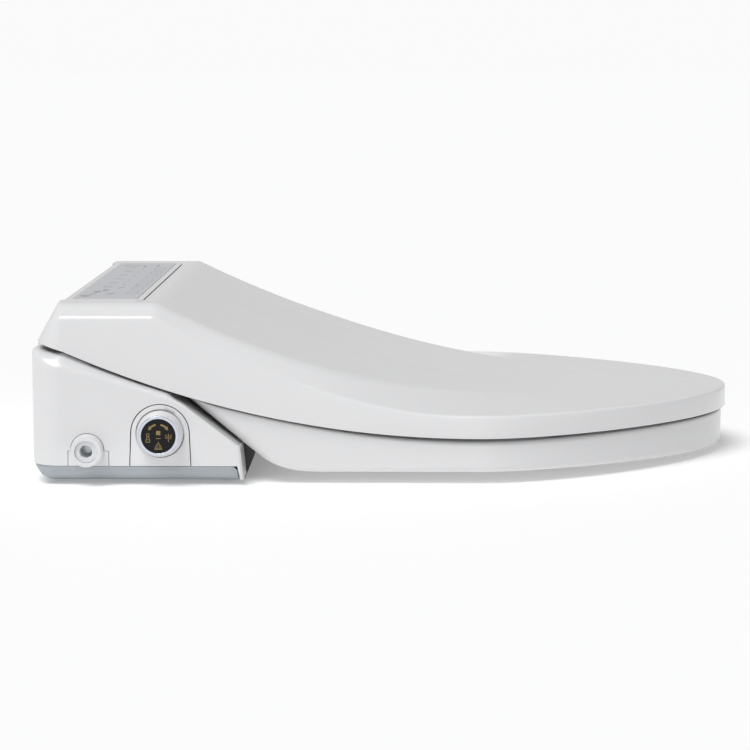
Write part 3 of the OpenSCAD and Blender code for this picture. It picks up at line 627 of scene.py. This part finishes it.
def front_rows():
    """Sections of the strip at the front, from its inner end out round the vertical corner."""
    rows = []
    for k in range(9):
        share = max(0.0, (k - 3) / 5)
        a = math.pi / 2 * share
        out = Vector((math.cos(a), math.sin(a)))
        if k < 4:
            x, y = FRONT_X, STRIP_INNER_Y + (SIDE - FRONT_ROUND - STRIP_INNER_Y) * k / 3
        else:
            x = FRONT_X - FRONT_ROUND + FRONT_ROUND * out.x
            y = SIDE - FRONT_ROUND + FRONT_ROUND * out.y
        foot = Vector((x + 0.5, y, STRIP_FOOT))
        top = Vector((x - 1.9, y, shoulder_z(x - 1.9)))
        ledge = []
        for inset in (3.0, 3.3, 3.6, 3.8, 4.0):
            at = Vector((x, y)) - out * inset
            ledge.append(Vector((at.x, at.y, shoulder_z(at.x))))
        middle = foot.lerp(top, 0.5)
        rows.append([foot, middle] + rounded([middle, top, ledge[0]], [1.8], 7)[1:] + ledge[1:])
    return rows


def side_rows():
    """Sections of one side's wall, round its rear corner and along the rear to the middle."""
    rows = []
    count = 60
    for k in range(count + 1):
        x = 93.5 + (REAR_X + CORNER - 93.5) * k / count
        ledge = [(x, SIDE - d, shoulder_z(x) + ledge_rise(x, d)) for d in INSETS]
        edge_r = 4.6 - 2.8 * smooth((x - 44) / 14)
        rows.append(wall_section((x, SIDE), BAND, shoulder_z(x), edge_r, ledge))
    cx, cy = REAR_X + CORNER, SIDE - CORNER
    for k in range(1, 13):
        a = math.pi / 2 * k / 12
        out = Vector((-math.sin(a), math.cos(a)))
        x, y = cx + CORNER * out.x, cy + CORNER * out.y
        share = smooth(k / 12)
        top = shoulder_z(cx) + (REAR_TOP - shoulder_z(cx)) * share
        ledge = []
        for d, near, dip in zip(INSETS, REAR_INSETS, REAR_DIPS):
            rise = ledge_rise(cx, d) * (1 - share) - dip * share
            side = Vector((cx, SIDE - d))
            curl = Vector((x, y)) - out * near
            at = side.lerp(curl, share)
            ledge.append((at.x, max(at.y, BUMP_HALF - 1), top + rise))
        rows.append(wall_section((x, y), BAND, top, 4.6 + 1.4 * share, ledge))
    for k in range(1, 15):
        y = cy * (1 - k / 14)
        ledge = [(REAR_X + d, y, REAR_TOP - dip) for d, dip in zip(REAR_INSETS, REAR_DIPS)]
        rows.append(wall_section((REAR_X, y), BAND, REAR_TOP, 6.0, ledge))
    return rows


BUMP_REAR_X, BUMP_TOP, BUMP_ARC = REAR_X + 1.2, 127, 55


def bump_profile():
    """From the rear up over the bump, and down its front on an arc about the hinge line."""
    turns = [math.radians(a) for a in range(8, -52, -6)]
    arc = [(HINGE_X + BUMP_ARC * math.cos(a), HINGE_Z + BUMP_ARC * math.sin(a)) for a in turns]
    run = [Vector((BUMP_REAR_X, 0, 94)), Vector((REAR_X + 1.6, 0, REAR_TOP + 1.4)),
           Vector((-36.5, 0, BUMP_TOP)), Vector((23.2, 0, BUMP_TOP))]
    return rounded(run, [3.0, 3.0], 5) + [Vector((x, 0, z)) for x, z in arc if z < 122]


def merged(obj, other):
    """The first piece with the other's finished mesh added to it."""
    extra = final_mesh(other)
    bm = bmesh.new()
    bm.from_mesh(obj.data)
    bm.from_mesh(extra)
    bm.to_mesh(obj.data)
    bm.free()
    bpy.data.objects.remove(other)
    shade(obj.data, HOUSING_SHARP)
    return obj


def housing_piece(name, verts, faces, replaces=()):
    return piece(name, verts, faces, "housing", M["white"], replaces, HOUSING_SHARP)


def make_housing_top():
    """The bump that carries the control panel, and the deck that slopes down to the fascia."""
    across = [BUMP_HALF * (1 - 2 * k / 20) for k in range(21)]
    profile = bump_profile()
    verts = [Vector((p.x, y, p.z)) for p in profile for y in across]
    faces = grid_faces(len(profile), len(across))
    for y in (BUMP_HALF, -BUMP_HALF):
        ring = len(verts)
        closed = [Vector((p.x, y, p.z)) for p in profile] + [Vector((BUMP_REAR_X, y, 60))]
        verts.extend(closed)
        faces.append(tuple(range(ring, ring + len(closed))))
    return thicken(housing_piece("housing_top", verts, faces), 2.4)


def make_housing_deck():
    """A slab of plain sections, thick towards the inside."""
    across = [(BUMP_HALF + 4) * (1 - 2 * k / 20) for k in range(21)]
    spots = (8, 17, 25, 33, 40, 45, 47, 50, 53, 56.4, 60, 70, 80, 90, 94.4)
    upper = [(x, shoulder_z(x) + ledge_rise(x, 40)) for x in spots]
    lower = [(x - 1.2, z - 2.2) for x, z in reversed(upper)]
    loop = upper + lower
    verts = [Vector((x, y, z)) for x, z in loop for y in across]
    faces = grid_faces(len(loop), len(across), True, False)
    wide = len(across)
    faces.append(tuple(k * wide for k in range(len(loop))))
    faces.append(tuple(k * wide + wide - 1 for k in reversed(range(len(loop)))))
    return housing_piece("housing_deck", verts, faces)


def dial_arch():
    """The outline of the gap round the dial's panel: a half circle on slightly splayed legs."""
    turns = [math.radians(a) for a in range(0, 181, 6)]
    legs = [(DIAL_X - DIAL_ARCH_FOOT, BAND - 2), (DIAL_X + DIAL_ARCH_FOOT, BAND - 2)]
    return [(DIAL_X + DIAL_ARCH * math.cos(a), DIAL_Z + DIAL_ARCH * math.sin(a)) for a in turns] + legs


def make_housing():
    """Walls and shoulders with their holes cut, and then the top and the deck merged in."""
    verts, faces = [], []
    rows = front_rows() + side_rows()
    for sign in (1, -1):
        base = len(verts)
        for r in rows:
            verts.extend(Vector((p.x, sign * p.y, p.z)) for p in r)
        faces.extend(tuple(base + i for i in f) for f in grid_faces(len(rows), len(rows[0])))
    housing = housing_piece("housing", verts, faces, ("housing_cover",))
    thicken(housing, 2.6)
    near, far = (-SIDE - 1, -SIDE + 4), (SIDE - 4, SIDE + 1)
    cut_out(housing, [
        cutter(dial_arch(), "Y", *near),
        cutter(circle_points(INLET_X, INLET_Z, INLET_HOLE), "Y", *near),
        cutter(rectangle(*INLET_WINDOW), "Y", *near),
        cutter(rectangle(*FILTER_WINDOW), "Y", *far),
        cutter(rectangle(*RELEASE_WINDOW), "Y", *far),
        cutter(circle_points(GLAND_Y, GLAND_Z, GLAND_HOLE), "X", REAR_X - 1, REAR_X + 4),
    ])
    merged(housing, make_housing_top())
    merged(housing, make_housing_deck())
    return even_shading(housing)


# ------------------------------------------------------------------ printed marks
def stroke(x0, z0, x1, z1, width):
    """A thin straight bar between two points."""
    along = Vector((x1 - x0, z1 - z0)).normalized() * width / 2
    side = (-along.y, along.x)
    return [(x0 + side[0], z0 + side[1]), (x0 - side[0], z0 - side[1]),
            (x1 - side[0], z1 - side[1]), (x1 + side[0], z1 + side[1])]


def band(x, z, r, width, start=0, end=358, steps=16):
    """Part of a ring, between two angles in degrees."""
    turns = [math.radians(start + (end - start) * k / steps) for k in range(steps + 1)]
    outer = [(x + (r + width / 2) * math.cos(a), z + (r + width / 2) * math.sin(a)) for a in turns]
    inner = [(x + (r - width / 2) * math.cos(a), z + (r - width / 2) * math.sin(a)) for a in reversed(turns)]
    return outer + inner


def outline_strokes(points, width):
    return [stroke(*a, *b, width) for a, b in zip(points, points[1:] + points[:1])]


def raised_marks(name, shapes, place, body, mat, replaces=()):
    """Thin plates from closed runs of 2D points; place(point, level) gives each corner."""
    verts, faces = [], []
    for shape in shapes:
        n, base = len(shape), len(verts)
        verts += [place(p, level) for level in (0, 1) for p in shape]
        faces += [tuple(range(base, base + n)), tuple(range(base + 2 * n - 1, base + n - 1, -1))]
        faces += [(base + i, base + n + i, base + n + (i + 1) % n, base + (i + 1) % n) for i in range(n)]
    return piece(name, verts, faces, body, mat, replaces)


DIAL_FACE_Y, LABEL_TOP_Z = -206.8, 129.205


def make_dial_marks():
    """Generic signs on the dial's face: two turning arrows, stop, a figure, a spray and drops."""
    def place(p, level):
        return Vector((DIAL_X + p[0], DIAL_FACE_Y - 0.12 * level, DIAL_Z + p[1]))

    shapes = []
    for s in (-1, 1):
        shapes.append(band(0, 0, 8.3, 1.3, 90 - s * 12, 90 - s * 42, 8))
        head = [math.radians(90 - s * 42), math.radians(90 - s * 60)]
        shapes.append([(6.9 * math.cos(head[0]), 6.9 * math.sin(head[0])),
                       (9.7 * math.cos(head[0]), 9.7 * math.sin(head[0])),
                       (8.3 * math.cos(head[1]), 8.3 * math.sin(head[1]))])
    shapes += [rectangle(-1.5, 0.8, 1.5, 3.8), rectangle(-1.7, -1.9, 1.7, -1.4)]
    # seated figure
    shapes.append(band(-7.4, 0.9, 1.0, 0.45))
    shapes += outline_strokes([(-8.9, -4.3), (-5.9, -4.3), (-6.5, -0.7), (-8.3, -0.7)], 0.45)
    shapes.append(stroke(-8.5, -2.6, -6.3, -2.6, 0.4))
    # spray
    for tip in ((4.9, 0.9), (9.5, 1.1), (7.2, 1.9), (7.3, -4.2)):
        shapes.append(stroke(7.2, -1.3, *tip, 0.5))
    shapes.append(band(5.9, -0.9, 0.7, 0.35))
    shapes.append(band(8.5, -0.9, 0.7, 0.35))
    # cluster of drops
    for x, z in ((0, -5.6), (-1.4, -7.9), (1.4, -7.9)):
        shapes += outline_strokes([(x - 1.1, z - 0.8), (x + 1.1, z - 0.8), (x, z + 1.3)], 0.4)
    shapes.append(stroke(-2.8, -9.4, 2.8, -9.4, 0.45))
    raised_marks("dial_marks", shapes, place, "dial_button", M["gilt"], ("dial_icons",))


def make_label_print():
    """Generic key signs printed on the panel's label, drawn in X and Y."""
    def place(p, level):
        return Vector((p[0], p[1], LABEL_TOP_Z + 0.06 * level))

    dark = [stroke(-26, -128, -19, -122, 1.6), stroke(-24.5, -134, -18.5, -133, 1.2),
            stroke(-20, -116, -16.5, -104, 1.0), band(-17.5, -96, 2.2, 0.9),
            stroke(-8.5, -114, -3.5, -110, 1.3), band(-12.5, -84, 2.0, 0.8),
            stroke(-4.5, -66, -1.0, -62, 1.0), stroke(5.5, -50, 8.5, -47, 0.9),
            stroke(-6, 112, -4.5, 124, 0.9), stroke(4.5, 118, 6.0, 128, 0.9)]
    raised_marks("label_signs", dark, place, "housing", M["ink"])
    pale = []
    for k in range(7):
        y = -104 + 33 * k
        pale += outline_strokes([(6, y - 9), (14, y - 9), (14, y + 9), (6, y + 9)], 0.5)
        pale.append(stroke(-4, y - 6, -4, y + 6, 0.6))
        pale.append(band(-14, y + 12, 3.0, 0.6))
    raised_marks("label_keys", pale, place, "housing", M["pale_ink"])


# ------------------------------------------------------------------ other nodes
# the fascia material used here is near-black painted shade for the front wall under the seat
FINE = {
    "base_tray": ("base", 0.8), "front_fascia": ("fascia", 0.6), "panel_frame": ("white", 0.5),
    "panel_label": ("label", 0.25), "display_window": ("window", 0.15), "dial_knob": ("white", 0.7),
    "dial_ring": ("ring", 0.25), "dial_face": ("dial_black", 0.25), "inlet_panel": ("white", 0.4),
    "inlet_nipple": ("nipple", 0.3),
    "mount_plate": ("grey", 0.5), "release_button": ("pale", 0.6), "deodorizer_filter": ("white", 0.6),
    "wash_nozzle": ("pale", 0.3), "bidet_nozzle": ("pale", 0.3), "wash_tip": ("white", 0.4),
    "bidet_tip": ("white", 0.4), "seat_arms": ("seat", 1.0), "cord_gland": ("rubber", 0.8),
    "seat_bumpers": ("rubber", 1.0), "lid_bumpers": ("rubber", 0.8), "dryer_flap": ("fascia", 0.3),
}
PLAIN = {
    "dial_encoder": "grey", "dial_shaft": "steel", "inlet_strainer": "steel",
    "hinge_pins": "steel", "seat_damper": "grey", "lid_damper": "grey", "seat_heater": "copper",
    "seat_sensor": "board", "nozzle_carrier": "grey", "wash_pinion": "pale", "bidet_pinion": "pale",
    "nozzle_motors": "steel", "solenoid_valve": "grey", "inlet_hose": "hose", "water_tank": "pale",
    "tank_heater": "steel", "diverter_valve": "grey", "wash_hose": "hose", "dryer_blower": "grey",
    "dryer_impeller": "pale", "dryer_motor": "steel", "dryer_duct": "grey", "dryer_heater": "copper",
    "deodorizer_case": "pale", "deodorizer_fan": "grey", "main_board": "board", "panel_board": "board",
    "transformer": "copper", "base_pads": "rubber", "base_screws": "steel",
}


GROOVE_R, GROOVE_DEPTH = 17.5, 0.9


def dress_nodes():
    """Rounded copies of some CAD nodes, and materials for the others that stay as they are."""
    for node, (mat, width) in FINE.items():
        refined(node, M[mat], width)
    # the dial's panel has a shallow groove round the foot of the knob
    panel = refined("dial_panel", M["white"], 0.3)
    groove = cutter(circle_points(DIAL_X, DIAL_Z, GROOVE_R), "Y", -SIDE - 1, -SIDE + GROOVE_DEPTH)
    cut_out(panel, [groove])
    for node, mat in PLAIN.items():
        mesh = frame["nodes"][node].data
        mesh.materials.clear()
        mesh.materials.append(M[mat])


# ------------------------------------------------------------------ floor and light
def make_stage():
    mat, shader = node_kit("studio_floor")[:2]
    shader.inputs["Base Color"].default_value = (0.9, 0.9, 0.9, 1)
    shader.inputs["Roughness"].default_value = 0.9
    shader.inputs["Specular IOR Level"].default_value = 0.1
    shader.inputs["Emission Color"].default_value = (1, 1, 1, 1)
    shader.inputs["Emission Strength"].default_value = 0.21
    mesh = bpy.data.meshes.new("studio_floor")
    reach = 30.0
    below = -0.0004
    corners = [(-reach, -reach), (reach, -reach), (reach, reach), (-reach, reach)]
    mesh.from_pydata([(x, y, below) for x, y in corners], [], [(0, 1, 2, 3)])
    floor = bpy.data.objects.new("studio_floor", mesh)
    mesh.materials.append(mat)
    bpy.context.scene.collection.objects.link(floor)


def area_light(name, spot, aim, size, power):
    data = bpy.data.lights.new(name, "AREA")
    data.shape = "RECTANGLE"
    data.size, data.size_y = size
    data.energy = power
    obj = bpy.data.objects.new(name, data)
    obj.location = spot
    obj.rotation_euler = (Vector(aim) - Vector(spot)).to_track_quat("-Z", "Y").to_euler()
    bpy.context.scene.collection.objects.link(obj)


def make_world():
    """A studio that is seen white, mirrored less bright, and lights the object less still."""
    world = bpy.data.worlds.new("studio")
    world.use_nodes = True
    tree = world.node_tree
    ambient = tree.nodes["Background"]
    ambient.inputs["Color"].default_value = (0.97, 0.98, 1.0, 1)
    ambient.inputs["Strength"].default_value = 0.27
    backdrop = tree.nodes.new("ShaderNodeBackground")
    backdrop.inputs["Color"].default_value = (0.965, 0.96, 0.965, 1)
    seen = tree.nodes.new("ShaderNodeLightPath")
    mix = tree.nodes.new("ShaderNodeMixShader")
    either = tree.nodes.new("ShaderNodeMath")
    either.operation = "MAXIMUM"
    tree.links.new(seen.outputs["Is Camera Ray"], either.inputs[0])
    mirrored_share = tree.nodes.new("ShaderNodeMath")
    mirrored_share.operation = "MULTIPLY"
    mirrored_share.inputs[1].default_value = 0.5
    tree.links.new(seen.outputs["Is Glossy Ray"], mirrored_share.inputs[0])
    tree.links.new(mirrored_share.outputs["Value"], either.inputs[1])
    tree.links.new(either.outputs["Value"], mix.inputs["Fac"])
    tree.links.new(ambient.outputs["Background"], mix.inputs[1])
    tree.links.new(backdrop.outputs["Background"], mix.inputs[2])
    tree.links.new(mix.outputs["Shader"], tree.nodes["World Output"].inputs["Surface"])
    bpy.context.scene.world = world


def make_lights():
    """A broad sun from above and behind the camera, and a long faint light over the camera."""
    sun = bpy.data.lights.new("key_sun", "SUN")
    sun.energy = 2.1
    sun.angle = math.radians(35)
    lamp = bpy.data.objects.new("key_sun", sun)
    lamp.rotation_euler = Vector((0.28, 0.42, -0.863)).to_track_quat("-Z", "Y").to_euler()
    bpy.context.scene.collection.objects.link(lamp)
    area_light("glint", (0.1, -2.1, 1.5), (0.2, 0, 0.05), (1.6, 0.5), 0.4)
    bpy.context.scene.view_settings.view_transform = "Standard"


# ------------------------------------------------------------------ all together
make_materials()
make_lid()
make_seat()
make_housing()
dress_nodes()
make_dial_marks()
make_label_print()
make_stage()
make_world()
make_lights()
make_camera()
